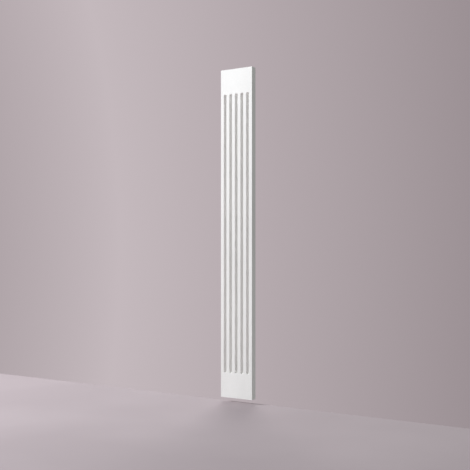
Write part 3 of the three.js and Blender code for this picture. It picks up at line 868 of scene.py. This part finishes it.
def insert_and_stem():
    at = middle("valve_insert")
    low, high = corners("valve_insert")
    centre = (0, at.y, at.z)
    hex_end = high.x - 7.3
    hex_start = hex_end - 5
    profile = [
        (4.2, low.x), (8.9, low.x), *thread(9.9, 0.8, 1.1, low.x + 0.3, hex_start - 0.7),
        *hexagon(INSERT_HEX, hex_start, hex_end), (7.8, hex_end + 0.1),
        *thread(8.6, 0.7, 1.2, hex_end + 0.9, high.x - 0.6), (7.6, high.x), (2.7, high.x),
        (2.7, low.x + 2.4), (4.2, low.x + 1.4),
    ]
    insert = turned("insert_body", profile, "x", centre, ring=True, flats=flats_of(INSERT_HEX))
    hand_over(shade(insert, 25), "nickel_plated_brass", ["valve_insert"])

    low, high = corners("valve_stem")
    profile = [
        (0, low.x), (1.6, low.x), (2.3, low.x + 0.8), (2.3, high.x - 2.2), (5.2, high.x - 2),
        (5.9, high.x - 1.6), (5.9, high.x - 0.4), (5.4, high.x), (0, high.x),
    ]
    stem = shade(turned("lifting_stem", profile, "x", centre, 48), 30)
    hand_over(stem, "stainless_steel", ["valve_stem"], "valve_stem")

    low, high = corners("head_nut")
    profile = [
        (10.3, low.x), (NUT - 1, low.x), (NUT, low.x + 0.9), (NUT, high.x - 0.9),
        (NUT - 1, high.x), (10.3, high.x),
    ]
    nut = turned("knurled_head_nut", profile, "x", centre, 96, ring=True)
    knurl(nut, centre, 48, NUT, 0.45, low.x + 1.2, high.x - 1.2)
    hand_over(shade(nut, 25), "nickel_plated_brass", ["head_nut"])


def air_vent():
    at = middle("vent_bush")
    low, high = corners("vent_bush")
    centre = (0, at.y, at.z)
    face = low.x + 18
    profile = [
        (2.9, low.x), (4.8, low.x), (5.4, low.x + 0.6), (5.4, face - 6.1),
        *hexagon(VENT_HEX, face - 6, face), (7.0, face + 0.1),
        *thread(7.6, 0.6, 1.1, face + 0.5, high.x - 0.6), (6.8, high.x), (1.5, high.x),
        (1.5, face - 6), (2.9, face - 7),
    ]
    bush = turned("vent_body", profile, "x", centre, ring=True, flats=flats_of(VENT_HEX))
    hand_over(shade(bush, 25), "brass", ["vent_bush"])

    low, high = corners("bleed_screw")
    neck = low.x + 7.7
    profile = [
        (0, high.x), (1.4, high.x), (2.2, high.x - 1.6),
        *thread(2.65, 0.4, 0.8, high.x - 2.2, neck + 0.5), (2.2, neck), (0, neck),
    ]
    screw = turned("square_bleed_screw", profile, "x", centre, 48)
    profile = [(0, low.x), (2.9, low.x), (3.4, low.x + 0.6), (3.4, neck + 0.2), (0, neck + 0.2)]
    square = turned("square", profile, "x", centre, 4)
    combine(screw, [square], "UNION")
    hand_over(shade(screw, 25), "nickel_plated_brass", ["bleed_screw"], "bleed_screw")


def knurl(nut, centre, count, radius, depth, start, end):
    """Cuts straight knurling round a nut that lies along X."""
    proud = 0.35  # how far each cutter's middle stands off the nut
    side = (depth + proud) * math.sqrt(2)
    bm = bmesh.new()
    for n in range(count):
        angle = TURN * n / count
        spot = Vector((0, math.cos(angle), math.sin(angle))) * (radius + proud)
        made = bmesh.ops.create_cube(bm, size=1.0)
        place = Matrix.Translation(Vector(centre) + spot + Vector(((start + end) / 2, 0, 0)))
        turn = Matrix.Rotation(angle + math.pi / 4, 4, "X")
        stretch = Matrix.Diagonal((end - start, side, side, 1))
        bmesh.ops.transform(bm, matrix=place @ turn @ stretch, verts=made["verts"])
    combine(nut, [to_piece("knurl", bm)], "DIFFERENCE")


# ---- thermostatic head ----------------------------------------------------------------------

HEAD_GROOVES = 14
HEAD_RADIUS = 16.0
HEAD_DOME = 5.0  # radius of the rounding at the outer end


def groove_tree():
    """Cuts finger grooves with ball ends out of a grip, in a ring round an axis along X."""
    tree, given = start_tree("finger_grooves", {
        "Grip": "Geometry", "Groove radius": "Float", "Groove length": "Float",
        "Ring radius": "Float", "Count": "Int", "Centre": "Vector", "Finish": "Material",
    })
    quarter = (0, math.pi / 2, 0)
    ring = node(tree, "GeometryNodeMeshCircle", {
        "Vertices": given["Count"], "Radius": given["Ring radius"],
    }, fill_type="NONE")
    on_end = node(tree, "GeometryNodeTransform", {
        "Geometry": ring.outputs[0], "Rotation": quarter, "Translation": given["Centre"],
    })
    cutter = capsule(tree, 20, 13, given["Groove radius"], given["Groove length"])
    grooved = cut_at(tree, given["Grip"], on_end.outputs[0], cutter, quarter)
    return end_tree(tree, grooved, given["Finish"])


def thermostatic_head():
    at = middle("thermostatic_head")
    low, high = corners("thermostatic_head")
    flat = HEAD_RADIUS - HEAD_DOME
    dome = [
        (flat + HEAD_DOME * math.sin(a), low.x + HEAD_DOME - HEAD_DOME * math.cos(a))
        for a in [i * math.pi / 16 for i in range(9)]
    ]
    groove = HEAD_RADIUS - 0.8
    profile = [
        (0, low.x + 0.4), (9, low.x), *dome, (HEAD_RADIUS, high.x - 9), (groove, high.x - 8.4),
        (groove, high.x - 7.6), (HEAD_RADIUS, high.x - 7), (HEAD_RADIUS, high.x - 1.2),
        (HEAD_RADIUS - 1.2, high.x), (8, high.x), (8, high.x - 8), (0, high.x - 8),
    ]
    grip = turned("temperature_grip", profile, "x", (0, at.y, at.z), 112)
    run_tree(grip, groove_tree(), {
        "Groove radius": 2.6 * MM,
        "Groove length": (high.x - low.x - 24) * MM,
        "Ring radius": (HEAD_RADIUS + 1.4) * MM,
        "Count": HEAD_GROOVES,
        "Centre": Vector((at.x - 3.5, at.y, at.z)) * MM,
        "Finish": FINISHES["white_plastic"],
    })
    front = at.y - HEAD_RADIUS
    mark = block("mark", (high.x - 5.6, front - 4, at.z - 0.5),
                 (high.x - 2.4, front + 0.5, at.z + 0.5))
    combine(grip, [mark], "DIFFERENCE")
    hand_over(shade(grip), "white_plastic", ["thermostatic_head"], "thermostatic_head")


# ---- heat channels --------------------------------------------------------------------------

CHANNEL_WALL = 1.0


def half_circle(x, y, radius, steps=24):
    """Points from the left end of a half circle, round its front, to the right end."""
    angles = [math.pi * i / steps for i in range(steps + 1)]
    return [(x - radius * math.cos(a), y - radius * math.sin(a)) for a in angles]


def heat_channels():
    """Extruded aluminium liners, each a U with its open side to the back."""
    for n, source in enumerate(numbered("heat_channel", 4), 1):
        low, high = corners(source)
        at = middle(source)
        outer = (high.x - low.x) / 2
        inner = outer - CHANNEL_WALL
        depth = low.y + outer
        outline = [
            (at.x - outer, high.y), *half_circle(at.x, depth, outer), (at.x + outer, high.y),
            (at.x + inner, high.y), *reversed(half_circle(at.x, depth, inner)),
            (at.x - inner, high.y),
        ]
        bm = bmesh.new()
        face = bm.faces.new([bm.verts.new((x, y, low.z)) for x, y in outline])
        pulled = bmesh.ops.extrude_face_region(bm, geom=[face])
        moved = [v for v in pulled["geom"] if isinstance(v, bmesh.types.BMVert)]
        bmesh.ops.translate(bm, vec=(0, 0, high.z - low.z), verts=moved)
        liner = to_piece(f"riser_liner_{n}", bm)
        hand_over(shade(liner, 30), "aluminium", [source])


# ---- the scene ------------------------------------------------------------------------------


def lay_floor():
    """A pale floor that stops at the wall's plane, as a floor seen against a wall does."""
    level = CAD_BOX[0][2] - FLOOR_DROP
    bm = bmesh.new()
    far = FLOOR_REACH
    edge = [(-far, -far), (far, -far), (far, 0), (-far, 0)]
    bm.faces.new([bm.verts.new((x, y, level)) for x, y in edge])
    mesh = bpy.data.meshes.new("floor")
    bm.to_mesh(mesh)
    bm.free()
    floor = new_object("floor", mesh)
    tree, shader = new_finish("floor", "floor_pale_matt", "#AB9EA2", 0.9)
    wander = pattern(tree, "ShaderNodeTexNoise", 900, Detail=2.0)
    tone = ramp(tree, wander.outputs["Fac"], [(0.35, "#A89B9F"), (0.65, "#AEA1A5")])
    tree.links.new(tone, shader.inputs["Base Color"])
    mesh.materials.append(FINISHES["floor"])


make_finishes()
set_world()
set_camera()
disk_light("key", KEY_AZIMUTH, KEY_HEIGHT, KEY_DISTANCE, KEY_RADIUS, KEY_POWER, "#F8FBFF")
disk_light(
    "rear_fill", FILL_AZIMUTH, FILL_HEIGHT, FILL_DISTANCE, FILL_RADIUS, FILL_POWER, "#FFFFFF")
lay_floor()

fluted_slab()
sheet_metal()
fasteners()
register()
heat_channels()
valve_block()
for line in ("flow", "return"):
    compression_nut(line)
    key_spindle(line)
insert_and_stem()
air_vent()
thermostatic_head()

bpy.context.scene.view_settings.view_transform = "Standard"
